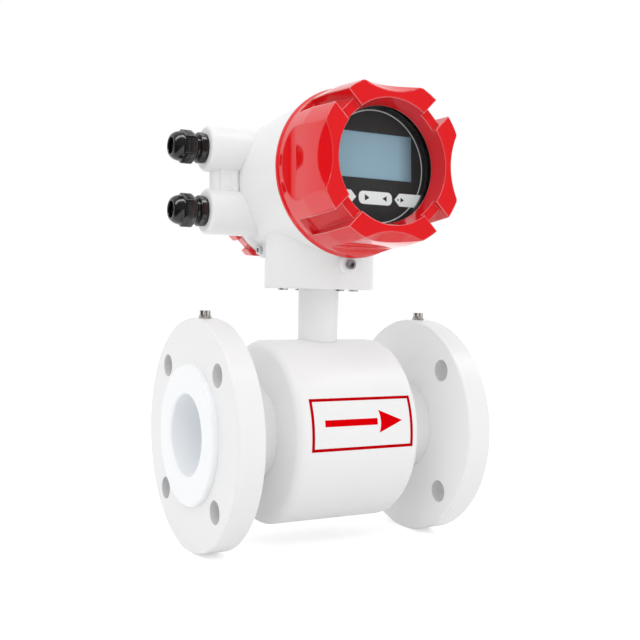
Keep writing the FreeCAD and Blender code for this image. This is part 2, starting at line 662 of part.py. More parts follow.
def scallop():
    """A shallow round bite out of the front edge of a main side, on the +X side."""
    start = V(FLAT_FRONT - SCALLOP_DEPTH, COVER_FRONT, 0)
    slope = radians(SCALLOP_SLOPE)
    along = V(sin(slope), cos(slope), 0)
    outward = V(cos(slope), -sin(slope), 0)
    centre = start + outward * SCALLOP_RADIUS - along * COVER_LENGTH
    return Part.makeCylinder(SCALLOP_RADIUS, 2 * COVER_LENGTH, centre, along)


def front_cover():
    """Lobed screw cover with a round rim and a round window."""
    band = COVER_RIM - COVER_RIM_BAND
    drum = placed(turned([
        (COVER_FRONT, 0), (COVER_FRONT, COVER_FRONT_RADIUS), (COVER_FRONT + COVER_SHOULDER, COVER_SHOULDER_RADIUS),
        (band - COVER_RIM_SKIRT, COVER_BODY_RADIUS), (band, COVER_RADIUS),
        (COVER_RIM - COVER_RIM_CHAMFER, COVER_RADIUS), (COVER_RIM, COVER_RADIUS - COVER_RIM_CHAMFER),
        (COVER_RIM, 0),
    ]), ALONG_Y)
    slot = slot_cutter(SLOT_WIDTH, COVER_FRONT - 1, SLOT_FRONT_FLOOR, COVER_RIM - SLOT_REAR_MARGIN,
                       SLOT_REAR_FLOOR, SLOT_END_LEAN)
    face_step = moved(Part.makeBox(COVER_RADIUS, SLOT_FACE_RECESS + 1, SLOT_WIDTH),
                      x=WINDOW_LIP_RADIUS / 2, y=COVER_FRONT - 1, z=-SLOT_WIDTH / 2)
    inside = placed(turned([
        (COVER_FRONT - 1, 0),
        (COVER_FRONT - 1, WINDOW_FRONT_RADIUS), (COVER_FRONT, WINDOW_FRONT_RADIUS),
        (WINDOW_LIP, WINDOW_LIP_RADIUS), (WINDOW_LIP, POCKET_RADIUS),
        (RETAINER_BACK, POCKET_RADIUS), (RETAINER_BACK, COVER_CHAMBER_RADIUS),
        (FRONT_THREAD_END - 1, COVER_CHAMBER_RADIUS), (FRONT_THREAD_END - 1, FRONT_THREAD_RADIUS + THREAD_GAP),
        (COVER_RIM + 1, FRONT_THREAD_RADIUS + THREAD_GAP), (COVER_RIM + 1, 0),
    ]), ALONG_Y)
    main_sides = around(side_flat(), LOBE_COUNT, V(0, 1, 0)) + around(scallop(), LOBE_COUNT, V(0, 1, 0))
    blank = drum.cut(main_sides + diagonal_slots(slot) + diagonal_slots(face_step))
    return in_head(blank.cut([inside, seal_groove(FRONT_THREAD_RADIUS, COVER_RIM, 1)]))


def seal_groove(thread_radius, rim, side):
    """The counterbore in a cover's mouth that carries its O-ring."""
    inner, outer = seal_radii(thread_radius)
    depth = 2 * SEAL_SECTION + SEAL_GAP
    start, end = sorted((rim + side, rim - side * depth))
    return placed(ring(thread_radius, outer + SEAL_GAP, start, end), ALONG_Y)


def seal_radii(thread_radius):
    inner = thread_radius + THREAD_GAP + SEAL_GAP
    return inner, inner + 2 * SEAL_SECTION


def cover_seal(thread_radius, rim, side):
    """O-ring in the cover's mouth, about the head axis."""
    inner, outer = seal_radii(thread_radius)
    centre_y = rim - side * (SEAL_SECTION + SEAL_GAP / 2)
    return Part.makeTorus((inner + outer) / 2, SEAL_SECTION, V(0, centre_y, 0), V(0, 1, 0))


def window_gasket():
    return in_head(placed(ring(WINDOW_LIP_RADIUS + GLASS_POCKET_GAP, GLASS_RADIUS, WINDOW_LIP, GLASS_FRONT), ALONG_Y))


def window_glass():
    return in_head(placed(disc(GLASS_RADIUS, GLASS_FRONT, GLASS_BACK), ALONG_Y))


def window_retainer():
    return in_head(placed(ring(RETAINER_INNER_RADIUS, POCKET_RADIUS, GLASS_BACK, RETAINER_BACK), ALONG_Y))


def rear_cover():
    """Shallow blind cover, gripped by the same slots as the front one."""
    end = REAR_RIM + REAR_COVER_LENGTH
    drum = placed(turned([
        (REAR_RIM, 0), (REAR_RIM, REAR_COVER_RADIUS), (end, REAR_COVER_RADIUS, REAR_COVER_TAPER), (end, 0),
    ]), ALONG_Y)
    taper = Part.makeLoft([octagon(REAR_COVER_FLAT, REAR_COVER_CORNER, REAR_RIM),
                           octagon(REAR_COVER_FLAT - REAR_COVER_TAPER, REAR_COVER_CORNER, end)], True, True)
    slot = slot_cutter(REAR_SLOT_WIDTH, REAR_RIM - 1, REAR_SLOT_FLOOR, end + 1, REAR_SLOT_FLOOR - REAR_COVER_TAPER)
    inside = placed(disc(REAR_THREAD_RADIUS + THREAD_GAP, REAR_RIM - 1, end - REAR_COVER_END_WALL), ALONG_Y)
    blank = drum.common(taper).cut(diagonal_slots(slot))
    return in_head(at_rear_axis(blank.cut([inside, seal_groove(REAR_THREAD_RADIUS, REAR_RIM, -1)])))


# ---------------------------------------------------------------- display
def head_box(width, bottom, top, front, back):
    box = Part.makeBox(width, back - front, top - bottom)
    return moved(box, x=-width / 2, y=front, z=bottom)


def display_panel():
    """Round black front plate with the screen opening."""
    face = placed(disc(PANEL_RADIUS, PANEL_FRONT, PANEL_BACK), ALONG_Y)
    return in_head(face.cut(head_box(SCREEN_WIDTH, SCREEN_BOTTOM, SCREEN_TOP, PANEL_FRONT - 1, PANEL_BACK + 1)))


def lcd_module():
    return in_head(head_box(SCREEN_WIDTH + 2 * LCD_BORDER, SCREEN_BOTTOM - LCD_BORDER, SCREEN_TOP + LCD_BORDER,
                            PANEL_BACK, LCD_BACK))


def circuit_board(front, back):
    """Round board with its fixing holes."""
    board = placed(disc(BOARD_RADIUS, front, back), ALONG_Y)
    hole = moved(placed(disc(STANDOFF_FLATS / 4, front - 1, back + 1), ALONG_Y), x=STANDOFF_CIRCLE)
    return in_head(cut_all(board, around(hole, STANDOFF_COUNT, V(0, 1, 0), 180.0 / STANDOFF_COUNT)))


def standoffs():
    """Hexagonal spacers between the two boards."""
    spacer = moved(placed(hexagon(STANDOFF_FLATS, BOARD_BACK, MAIN_BOARD_FRONT), ALONG_Y), x=STANDOFF_CIRCLE)
    pieces = around(spacer, STANDOFF_COUNT, V(0, 1, 0), 180.0 / STANDOFF_COUNT)
    return [in_head(piece) for piece in pieces]


def key_pad(corners):
    """A thin pad on the panel, drawn in its face: u to the right, v up."""
    pad = plate(corners, KEY_THICKNESS)
    upright = FreeCAD.Placement(V(0, PANEL_FRONT, KEY_ROW), FreeCAD.Rotation(V(1, 0, 0), 90))
    return in_head(placed(pad, upright))


def middle_key():
    return key_pad(rounded_rectangle(MIDDLE_KEY_WIDTH, KEY_HEIGHT, KEY_CORNER))


def side_key(side):
    """A pad whose inner end is a point."""
    half = KEY_HEIGHT / 2
    corners = [(SIDE_KEY_START, 0), (SIDE_KEY_START + KEY_POINT, -half, 1.0), (SIDE_KEY_END, -half),
               (SIDE_KEY_END, half), (SIDE_KEY_START + KEY_POINT, half, 1.0)]
    return key_pad([(side * corner[0],) + corner[1:] for corner in corners])


def terminal_block():
    """A row of screw terminals on the partition."""
    block = head_box(TERMINAL_WIDTH, -TERMINAL_HEIGHT / 2, TERMINAL_HEIGHT / 2,
                     PARTITION_BACK, PARTITION_BACK + TERMINAL_DEPTH)
    pitch = TERMINAL_WIDTH / TERMINAL_COUNT
    face = PARTITION_BACK + TERMINAL_DEPTH
    well = placed(disc(TERMINAL_SCREW_RADIUS, face - TERMINAL_SCREW_DEPTH, face + 1), ALONG_Y)
    wells = [moved(well, x=pitch * (i + 0.5) - TERMINAL_WIDTH / 2) for i in range(TERMINAL_COUNT)]
    return in_head(at_rear_axis(cut_all(block, wells)))


# ---------------------------------------------------------------- screws and glands
def socket_screw(face):
    """Socket screw along X, its head outside the face towards -X."""
    screw = disc(LOCK_SCREW_RADIUS, face, face + LOCK_SCREW_DEPTH)
    screw = screw.fuse(disc(LOCK_HEAD_RADIUS, face - LOCK_HEAD_HEIGHT, face))
    mouth = face - LOCK_HEAD_HEIGHT
    return screw.cut(hexagon(LOCK_SOCKET_FLATS, mouth - 1, mouth + LOCK_SOCKET_DEPTH))


def front_lock_screw():
    return moved(placed(socket_screw(FRONT_LOCK_BOSS_FACE), ALONG_Y), z=AXIS_HEIGHT - FRONT_LOCK_DROP)


def rear_lock_screw():
    return in_head(moved(socket_screw(-REAR_LOCK_BOSS_REACH), y=REAR_LOCK_BOSS_OFFSET, z=REAR_LOCK_BOSS_HEIGHT))


def chamfered_hexagon(flats, start, end):
    """Hexagonal bar whose corners are turned down to the chamfer radius."""
    return hexagon(flats, start, end).common(disc(GLAND_CHAMFER_RADIUS, start, end, GLAND_EDGE))


def gland_pieces():
    """Sealing washer, body, cable seal and dome nut, along the X axis; x = 0 is the boss face."""
    washer = ring(GLAND_THREAD_RADIUS, GLAND_WASHER_RADIUS, -GLAND_WASHER_THICKNESS, 0)
    flange_end = GLAND_WASHER_THICKNESS + GLAND_FLANGE_THICKNESS
    body = disc(GLAND_THREAD_RADIUS, -GLAND_STEM_END, GLAND_THREAD_LENGTH)
    body = body.fuse(chamfered_hexagon(GLAND_FLATS, -flange_end, -GLAND_WASHER_THICKNESS))
    body = body.cut([disc(GLAND_BODY_BORE, -GLAND_STEM_END - 1, -GLAND_SEAL_START),
                     disc(GLAND_MOUTH_RADIUS, -GLAND_SEAL_START - 1, GLAND_THREAD_LENGTH + 1)])
    seal_end = GLAND_LENGTH - GLAND_NUT_WALL - GLAND_SEAL_NOSE
    seal = ring(CABLE_RADIUS, GLAND_BODY_BORE - GLAND_SEAL_GAP, -seal_end, -GLAND_SEAL_START - GLAND_SEAL_GAP)
    nut_start = flange_end + GLAND_GROOVE
    hex_end = nut_start + GLAND_NUT_HEX_LENGTH
    dome = turned([(-nut_start, 0), (-nut_start, GLAND_CHAMFER_RADIUS, GLAND_EDGE),
                   (-hex_end, GLAND_CHAMFER_RADIUS, GLAND_SHOULDER_ROUND),
                   (-GLAND_LENGTH, GLAND_TIP_RADIUS, GLAND_TIP_ROUND), (-GLAND_LENGTH, 0)])
    nut = dome.common(hexagon(GLAND_FLATS, -GLAND_LENGTH, -nut_start))
    nut = nut.cut([disc(GLAND_THREAD_RADIUS + GLAND_NUT_GAP, -GLAND_STEM_END - 1, 0),
                   disc(GLAND_NUT_INNER, GLAND_NUT_WALL - GLAND_LENGTH, 0),
                   disc(GLAND_MOUTH_RADIUS, -GLAND_LENGTH - 1, 0)])
    return {"washer": washer, "body": body, "seal": seal, "nut": nut}


def glands():
    pieces = {}
    for name, side in (("upper", 1), ("lower", -1)):
        for kind, shape in gland_pieces().items():
            seated = moved(shape, x=-BOSS_REACH, y=BOSS_OFFSET, z=side * BOSS_SPACING / 2)
            pieces[name + "_gland_" + kind] = in_head(seated)
    return pieces


# ---------------------------------------------------------------- the whole meter
def flow_meter():
    pieces = {
        "measuring_tube": measuring_tube(),
        "liner": liner(),
        "inlet_flange": flange(-1),
        "outlet_flange": flange(1),
        "inlet_earth_screw": earth_screw(-1),
        "outlet_earth_screw": earth_screw(1),
        "inlet_earth_washers": earth_washers(-1),
        "outlet_earth_washers": earth_washers(1),
        "coil_housing": coil_housing(),
        "upper_coil": coil(1),
        "lower_coil": coil(-1),
        "upper_pole_piece": pole_piece(1),
        "lower_pole_piece": pole_piece(-1),
        "yoke_band": yoke_band(),
        "neck_tube": neck_tube(),
        "neck_flange": neck_flange(),
        "neck_grommet": neck_grommet(),
        "lead_bundle": lead_bundle(),
        "base_gasket": base_gasket(),
        "converter_housing": converter_housing(),
        "front_cover": front_cover(),
        "front_cover_seal": in_head(cover_seal(FRONT_THREAD_RADIUS, COVER_RIM, 1)),
        "window_gasket": window_gasket(),
        "window_glass": window_glass(),
        "window_retainer": window_retainer(),
        "rear_cover": rear_cover(),
        "rear_cover_seal": in_head(at_rear_axis(cover_seal(REAR_THREAD_RADIUS, REAR_RIM, -1))),
        "display_panel": display_panel(),
        "lcd_module": lcd_module(),
        "display_board": circuit_board(LCD_BACK, BOARD_BACK),
        "main_board": circuit_board(MAIN_BOARD_FRONT, MAIN_BOARD_BACK),
        "middle_key": middle_key(),
        "left_key": side_key(-1),
        "right_key": side_key(1),
        "terminal_block": terminal_block(),
        "front_lock_screw": front_lock_screw(),
        "rear_lock_screw": rear_lock_screw(),
    }
    for name, side in (("front", -1), ("rear", 1)):
        electrode, bush, nut = electrode_stack(side)
        pieces[name + "_electrode"] = electrode
        pieces[name + "_electrode_bush"] = bush
        pieces[name + "_electrode_nut"] = nut
    for number, screw in enumerate(base_screws(), 1):
        pieces["base_screw_%d" % number] = screw
    for number, spacer in enumerate(standoffs(), 1):
        pieces["standoff_%d" % number] = spacer
    pieces.update(glands())
    return pieces


os.makedirs("parts", exist_ok=True)
for node, shape in flow_meter().items():
    shape.exportStep("parts/" + node + ".step")
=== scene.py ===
# %% [markdown]
# # An electromagnetic flow meter
# The meter is a lined pipe between two flanges, with coils in a round drum and a
# converter head on a neck.  The solids come from the frame.  This file lights them,
# gives each part its finish, and adds the small printed and moulded details.

# %% Load the frame
import json
from math import cos, pi, radians, sin

import bmesh
import bpy
from mathutils import Matrix, Vector


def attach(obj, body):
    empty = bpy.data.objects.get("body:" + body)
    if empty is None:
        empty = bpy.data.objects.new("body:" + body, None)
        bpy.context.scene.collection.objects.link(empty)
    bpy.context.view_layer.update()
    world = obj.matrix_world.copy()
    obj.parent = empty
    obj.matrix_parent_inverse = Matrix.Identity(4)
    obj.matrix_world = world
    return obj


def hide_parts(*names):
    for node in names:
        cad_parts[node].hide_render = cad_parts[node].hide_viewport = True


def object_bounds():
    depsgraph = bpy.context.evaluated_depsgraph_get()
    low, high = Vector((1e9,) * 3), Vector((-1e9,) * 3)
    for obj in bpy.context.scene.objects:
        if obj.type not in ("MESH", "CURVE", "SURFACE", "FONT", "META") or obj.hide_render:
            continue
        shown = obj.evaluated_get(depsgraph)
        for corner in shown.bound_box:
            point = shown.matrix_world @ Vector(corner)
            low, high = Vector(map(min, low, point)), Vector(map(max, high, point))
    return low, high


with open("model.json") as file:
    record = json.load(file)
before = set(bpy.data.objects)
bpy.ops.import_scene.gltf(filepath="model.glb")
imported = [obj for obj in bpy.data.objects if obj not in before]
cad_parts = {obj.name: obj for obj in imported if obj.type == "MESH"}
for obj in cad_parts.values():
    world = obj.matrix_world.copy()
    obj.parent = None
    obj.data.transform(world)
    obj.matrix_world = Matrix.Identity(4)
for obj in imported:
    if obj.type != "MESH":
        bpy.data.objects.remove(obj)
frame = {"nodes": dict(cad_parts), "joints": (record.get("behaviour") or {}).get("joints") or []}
cad_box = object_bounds()
MM = 0.001
print("parts:", len(frame["nodes"]))

# %% [markdown]
# ## The leaning head
# The head leans back by a few degrees.  Details on it are drawn in its own axes, x to
# the right, y towards the rear cover and z up, and then carried to the world.  The
# axis of the front cover's thread gives that frame, so nothing is fitted by eye.

# %% The head's own axes
cover_joint = next(j for j in frame["joints"] if j["name"] == "front_cover_turn")
head_y = -Vector(cover_joint["axis"]).normalized()
head_x = Vector((1, 0, 0))
head_z = head_x.cross(head_y)
HEAD = Matrix((head_x, head_y, head_z)).transposed().to_4x4()
HEAD.translation = Vector(cover_joint["pos_m"])


def reach(node, frame_axes=Matrix()):
    """Lowest and highest corner of a part, measured along the given axes."""
    inverse = frame_axes.inverted()
    points = [inverse @ vertex.co for vertex in frame["nodes"][node].data.vertices]
    low = Vector([min(p[i] for p in points) for i in range(3)])
    high = Vector([max(p[i] for p in points) for i in range(3)])
    return low, high


panel_low, _ = reach("display_panel", HEAD)
print("panel face at", round(panel_low.y / MM, 2), "mm in head axes")

# %% [markdown]
# ## Camera
# A long lens from the left front, almost level, as for a catalogue.  The camera is set
# from its bearing, height, roll and distance to a point on the meter.  A Track To
# constraint could aim it too, but a matrix holds the roll as well.

# %% Camera
AIM = Vector((3.5, 0.0, 91.7)) * MM
BEARING, ELEVATION, ROLL = radians(29.53), radians(1.59), radians(1.32)
DISTANCE = 833.3 * MM
SENSOR, LENS, SHIFT = 36.0, 55.37, -0.0024

back = Vector((-sin(BEARING) * cos(ELEVATION), -cos(BEARING) * cos(ELEVATION), sin(ELEVATION)))
camera = bpy.data.objects.new("camera", bpy.data.cameras.new("camera"))
bpy.context.scene.collection.objects.link(camera)
bpy.context.scene.camera = camera
camera.data.sensor_width = SENSOR
camera.data.lens = LENS
camera.data.shift_x = SHIFT
aimed = back.to_track_quat("Z", "Y").to_matrix().to_4x4() @ Matrix.Rotation(ROLL, 4, "Z")
camera.matrix_world = Matrix.Translation(AIM + back * DISTANCE) @ aimed
print("camera at", [round(v, 4) for v in camera.matrix_world.translation])

# %% [markdown]
# ## Shader formulas
# Node links are easier to read as sums.  A `Wire` holds a socket, and each operator
# adds one Math node.  Every other node comes from `Wire.node`, which sets the node's
# own settings first and then its sockets.


# %% Wires
class Wire:
    """A shader value that can be used in a sum."""

    def __init__(self, socket):
        self.socket = socket

    @staticmethod
    def node(tree, kind, settings=None, inputs=None, output=0):
        """Adds a shader node and returns one of its outputs, if it has any, as a Wire."""
        made = tree.nodes.new(kind)
        for name, value in (settings or {}).items():
            setattr(made, name, value)
        for name, value in (inputs or {}).items():
            if isinstance(value, Wire):
                tree.links.new(value.socket, made.inputs[name])
            else:
                made.inputs[name].default_value = value
        return Wire(made.outputs[output]) if made.outputs else None

    def out(self, name):
        """Another output of the same node."""
        return Wire(self.socket.node.outputs[name])

    def math(self, operation, first, second=0.0):
        """One Math node in this wire's tree."""
        return Wire.node(self.socket.id_data, "ShaderNodeMath", {"operation": operation},
                         {0: first, 1: second})

    def clipped(self):
        """The value, held between 0 and 1."""
        return Wire.node(self.socket.id_data, "ShaderNodeClamp", None, {"Value": self})

    def __add__(self, other):
        return self.math("ADD", self, other)

    __radd__ = __add__

    def __mul__(self, other):
        return self.math("MULTIPLY", self, other)

    __rmul__ = __mul__

    def __sub__(self, other):
        return self.math("SUBTRACT", self, other)

    def __rsub__(self, other):
        return self.math("SUBTRACT", other, self)

    def __truediv__(self, other):
        return self.math("DIVIDE", self, other)

    def __rtruediv__(self, other):
        return self.math("DIVIDE", other, self)

    def __abs__(self):
        return self.math("ABSOLUTE", self)

    def __gt__(self, other):
        return self.math("GREATER_THAN", self, other)

    def __lt__(self, other):
        return self.math("LESS_THAN", self, other)

# %% [markdown]
# ## Patterns for finishes
# A real surface is never one flat colour.  Noise in the part's own metres makes clouds
# that keep their size on every part, and `blend` drifts between two close shades.
# Image textures would need unwrapping first.


# %% Patterns
def place(tree):
    """The position on the part, in metres."""
    return Wire.node(tree, "ShaderNodeTexCoord", output="Object")


def axes(vector):
    """The x, y and z of a vector, as three wires."""
    parts = Wire.node(vector.socket.id_data, "ShaderNodeSeparateXYZ", None, {"Vector": vector})
    return [parts.out(name) for name in "XYZ"]


def noise(tree, scale, detail=2.0):
    """Cloudy values about 0.5; scale is the number of clouds per metre."""
    return Wire.node(tree, "ShaderNodeTexNoise", None,
                     {"Vector": place(tree), "Scale": scale, "Detail": detail})


def blend(tree, amount, first, second):
    """A colour between two, by amount; 6 and 7 are the Mix node's colour sockets."""
    first, second = (c if isinstance(c, Wire) else (*c, 1.0) for c in (first, second))
    return Wire.node(tree, "ShaderNodeMix", {"data_type": "RGBA"},
                     {0: amount, 6: first, 7: second}, output=2)

# %% [markdown]
# Edges and fine grain are too small to be worth any faces.  A Bevel node bends the
# normal round an edge, and a Bump node bends it by the slope of a height.


# %% Normals
def rounded(tree, radius):
    """A normal that rounds sharp edges by the radius."""
    return Wire.node(tree, "ShaderNodeBevel", {"samples": 6}, {"Radius": radius})


def relief(tree, height, distance, normal=None):
    """A bump normal from a height."""
    inputs = {"Height": height, "Distance": distance, "Strength": 1.0}
    if normal is not None:
        inputs["Normal"] = normal
    return Wire.node(tree, "ShaderNodeBump", None, inputs)

# %% [markdown]
# ## Finishes
# Each finish is one Principled material.  A value that is the same all over goes
# straight to the shader's socket, and a value that varies comes in as a wire.


# %% Finishes
def finish(name, **sockets):
    """A new material; plain numbers and colours go straight to the shader's sockets."""
    material = bpy.data.materials.new(name)
    material.use_nodes = True
    shader = material.node_tree.nodes["Principled BSDF"]
    for key, value in sockets.items():
        is_colour = isinstance(value, tuple)
        shader.inputs[key.replace("_", " ")].default_value = (*value, 1.0) if is_colour else value
    return material


def wire_up(material, **wires):
    """Links wires to the material's shader."""
    tree = material.node_tree
    shader = tree.nodes["Principled BSDF"]
    for key, value in wires.items():
        tree.links.new(value.socket, shader.inputs[key.replace("_", " ")])


def mottled(name, scale, light, dark, **sockets):
    """A new material that drifts between two close shades."""
    material = finish(name, **sockets)
    clouds = noise(material.node_tree, scale)
    wire_up(material, Base_Color=blend(material.node_tree, clouds, light, dark))
    return material


def dress(material, *names):
    """Gives parts of the frame a finish."""
    for name in names:
        target = frame["nodes"][name]
        target.data.materials.clear()
        target.data.materials.append(material)
    print(material.name, "on", ", ".join(names))

# %% [markdown]
# ## White powder coat
# The flanges, drum, neck and head casting are powder coated: a thick white film with a
# soft gloss, a very fine orange peel, and edges that the film rounds off.  The bevel
# is in the normal, since the film is thinner than any change of shape that would show.

# %% Powder coat
COAT_WHITE = (0.88, 0.88, 0.882)
COAT_SHADE = tuple(0.975 * v for v in COAT_WHITE)
COAT_GLOSS = 0.15
FILM_ROUNDING, PEEL_DEPTH = 0.9 * MM, 0.02 * MM


def powder(tree):
    """The film's colour, roughness and normal."""
    colour = blend(tree, noise(tree, 14.0, 3.0), COAT_WHITE, COAT_SHADE)
    rough = 0.28 + 0.10 * noise(tree, 40.0, 3.0)
    peel = relief(tree, noise(tree, 900.0), PEEL_DEPTH, rounded(tree, FILM_ROUNDING))
    return colour, rough, peel


coat = finish("powder_coat", Specular_IOR_Level=COAT_GLOSS)
painted, rough, peel = powder(coat.node_tree)
wire_up(coat, Base_Color=painted, Roughness=rough, Normal=peel)
dress(coat, "coil_housing", "neck_tube", "neck_flange", "converter_housing", "measuring_tube")

# %% [markdown]
# The walls of the bolt holes are greyed as painted shade, a dull grey in the colour.  The
# four holes lie symmetrically about the pipe, so folding y and z to their positive side
# leaves a single hole, and the distance from its axis picks out the wall.  The drum and
# the floor throw light back onto the inner side of each flange, more so low down.  A
# faint emission that fades upwards stands for it.

# %% Flange coat
HOLE_AXIS, HOLE_WALL, INNER_FACE = 51.27 * MM, 9.25 * MM, 92.3 * MM
# grey of the painted shade on the bolt holes' walls
HOLE_SHADE_GREY = (0.70, 0.70, 0.71)
BLACK, THROWN_LIGHT = (0.0, 0.0, 0.0), (0.128, 0.128, 0.128)
SHARE_AT_AXIS, FADE_PER_METRE = 0.55, 3.0

flange_coat = finish("flange_coat", Specular_IOR_Level=COAT_GLOSS, Emission_Strength=1.0)
tree = flange_coat.node_tree
along, across, up = axes(place(tree))
from_y, from_z = abs(across) - HOLE_AXIS, abs(up) - HOLE_AXIS
shaded_hole_wall = from_y * from_y + from_z * from_z < HOLE_WALL ** 2
inner_side = abs(along) < INNER_FACE
thrown_back = (inner_side * (SHARE_AT_AXIS - FADE_PER_METRE * up)).clipped()
painted, rough, peel = powder(tree)
# painted shade: the walls of the bolt holes turn grey
wire_up(flange_coat, Base_Color=blend(tree, shaded_hole_wall, painted, HOLE_SHADE_GREY),
        Emission_Color=blend(tree, thrown_back, BLACK, THROWN_LIGHT),
        Roughness=rough, Normal=peel)
dress(flange_coat, "inlet_flange", "outlet_flange")

# %% [markdown]
# ## Red enamel
# Both screw covers are cast aluminium under a high gloss red enamel.  It mirrors the
# pale room at a slant, which turns its flanks pink.  Every edge gets a painted
# highlight, a paler pink in the colour: an Ambient Occlusion node that looks inside the
# metal finds how close an edge is.  A clear coat is the usual way to gloss paint, but it
# has a normal of its own and misses the rounded edges, so the gloss is in the base layer.
# Light that the enamel throws on its white neighbours would turn them pinker than such
# covers do, so rays of that kind meet a greyer colour.

# %% Red enamel
RED, RED_SHADE = (0.79, 0.009, 0.013), (0.74, 0.007, 0.011)
# pink of the painted highlight on every edge
EDGE_HIGHLIGHT_PINK = (0.95, 0.36, 0.36)
THROWN_GREY, THROWN_SHARE = (0.55, 0.55, 0.55), 0.75
EDGE_REACH, ENAMEL_ROUNDING, RIPPLE_DEPTH = 0.9 * MM, 1.6 * MM, 0.002 * MM
OPEN_EDGE, EDGE_CONTRAST = 0.90, 1.8

red = finish("red_enamel", IOR=1.55)
tree = red.node_tree
depth = Wire.node(tree, "ShaderNodeAmbientOcclusion",
                  {"samples": 8, "inside": True, "only_local": True},
                  {"Distance": EDGE_REACH}, output="AO")
# painted highlight: the edges turn a paler pink
edge_highlight = (EDGE_CONTRAST * (OPEN_EDGE - depth)).clipped()
enamel = blend(tree, noise(tree, 30.0), RED, RED_SHADE)
highlighted_enamel = blend(tree, edge_highlight, enamel, EDGE_HIGHLIGHT_PINK)
bounce = Wire.node(tree, "ShaderNodeLightPath", output="Is Diffuse Ray")
wire_up(red, Base_Color=blend(tree, THROWN_SHARE * bounce, highlighted_enamel, THROWN_GREY),
        Roughness=0.04 + 0.03 * noise(tree, 60.0),
        Normal=relief(tree, noise(tree, 300.0), RIPPLE_DEPTH, rounded(tree, ENAMEL_ROUNDING)))
dress(red, "front_cover", "rear_cover")

# %% [markdown]
# ## Lining
# The lining is a smooth white fluoropolymer, a little blue, that wraps over each
# flange's face.  Light passes into it, so its bore stays pale inside.  Subsurface
# scattering would show that and take long, so a faint glow within the bore is enough.

# %% Lining
LINING, LINING_SHADE = (0.93, 0.945, 0.96), (0.915, 0.935, 0.955)
BORE_GLOW = (0.035, 0.037, 0.039)
GLOW_MARGIN, LINING_ROUNDING = 1.0 * MM, 0.6 * MM

lining = finish("lining", Roughness=0.35, Emission_Strength=1.0)
tree = lining.node_tree
bore = min(Vector((0, v.co.y, v.co.z)).length for v in frame["nodes"]["liner"].data.vertices)
_, across, up = axes(place(tree))
inside = across * across + up * up < (bore + GLOW_MARGIN) ** 2
print("bore radius", round(bore / MM, 2), "mm")
wire_up(lining, Base_Color=blend(tree, noise(tree, 20.0), LINING, LINING_SHADE),
        Emission_Color=blend(tree, inside, BLACK, BORE_GLOW),
        Normal=rounded(tree, LINING_ROUNDING))
dress(lining, "liner")

# %% [markdown]
# ## Black nylon
# The cable glands are moulded black nylon, with the gloss of a polished mould and a
# grain too fine to see but for the way it breaks up highlights.

# %% Black nylon
NYLON, NYLON_SHADE = (0.006, 0.006, 0.006), (0.012, 0.012, 0.012)
GRAIN_DEPTH, NYLON_ROUNDING = 0.01 * MM, 0.5 * MM

nylon = mottled("black_nylon", 90.0, NYLON, NYLON_SHADE)
tree = nylon.node_tree
wire_up(nylon, Roughness=0.11 + 0.10 * noise(tree, 220.0),
        Normal=relief(tree, noise(tree, 1500.0), GRAIN_DEPTH, rounded(tree, NYLON_ROUNDING)))
dress(nylon, "upper_gland_body", "lower_gland_body", "upper_gland_nut", "lower_gland_nut")

# %% [markdown]
# Seals, washers and the leads' sleeves are black too, but soft and matt.  All that tells
# them from the nylon is a much higher roughness.

# %% Black rubber
RUBBER, RUBBER_SHADE = (0.010, 0.010, 0.010), (0.02, 0.02, 0.02)

rubber = mottled("black_rubber", 200.0, RUBBER, RUBBER_SHADE)
wire_up(rubber, Roughness=0.5 + 0.2 * noise(rubber.node_tree, 300.0))
dress(rubber, "upper_gland_washer", "lower_gland_washer", "upper_gland_seal", "lower_gland_seal",
      "front_cover_seal", "rear_cover_seal", "window_gasket", "base_gasket", "neck_grommet",
      "lead_bundle")

# %% [markdown]
# ## Metals
# Screws and electrodes are stainless, pole pieces iron, coils copper.  Small turned
# parts never shine evenly, so fine streaks of a darker shade and an uneven roughness
# are enough, and one function makes them all.

# %% Metals
METAL_ROUNDING = 0.25 * MM


def metal(name, light, dark, rough, *parts):
    """A turned metal: streaks of two shades and an uneven shine."""
    made = finish(name, Metallic=1.0)
    tree = made.node_tree
    wire_up(made, Base_Color=blend(tree, noise(tree, 700.0, 3.0), light, dark),
            Roughness=rough + 0.12 * noise(tree, 250.0), Normal=rounded(tree, METAL_ROUNDING))
    dress(made, *parts)


metal("stainless", (0.68, 0.68, 0.70), (0.52, 0.52, 0.53), 0.20,
      "front_electrode", "rear_electrode", "front_electrode_nut", "rear_electrode_nut",
      "rear_lock_screw", "base_screw_1", "base_screw_2", "base_screw_3", "base_screw_4",
      "standoff_1", "standoff_2", "standoff_3", "standoff_4")
metal("iron", (0.35, 0.35, 0.36), (0.22, 0.22, 0.23), 0.45,
      "upper_pole_piece", "lower_pole_piece", "yoke_band")
metal("copper", (0.60, 0.26, 0.12), (0.45, 0.17, 0.07), 0.35, "upper_coil", "lower_coil")
metal("dark_steel", (0.62, 0.58, 0.60), (0.05, 0.05, 0.05), 0.22, "front_lock_screw")
metal("washer", (0.62, 0.60, 0.56), (0.40, 0.38, 0.34), 0.32,
      "inlet_earth_washers", "outlet_earth_washers")

# %% [markdown]
# The earth screws have knurled heads.  A wave of the angle round each screw's own
# upright axis gives the teeth a slight bump, and a painted highlight and painted shade
# in the colour for the bright and dark teeth that a small knurl shows from afar.

# %% Earth screws
TEETH, TOOTH_DEPTH = 8.0, 0.2 * MM
# colours of the painted shade and painted highlight on the teeth
TOOTH_SHADE, TOOTH_HIGHLIGHT = (0.16, 0.15, 0.14), (0.80, 0.79, 0.77)

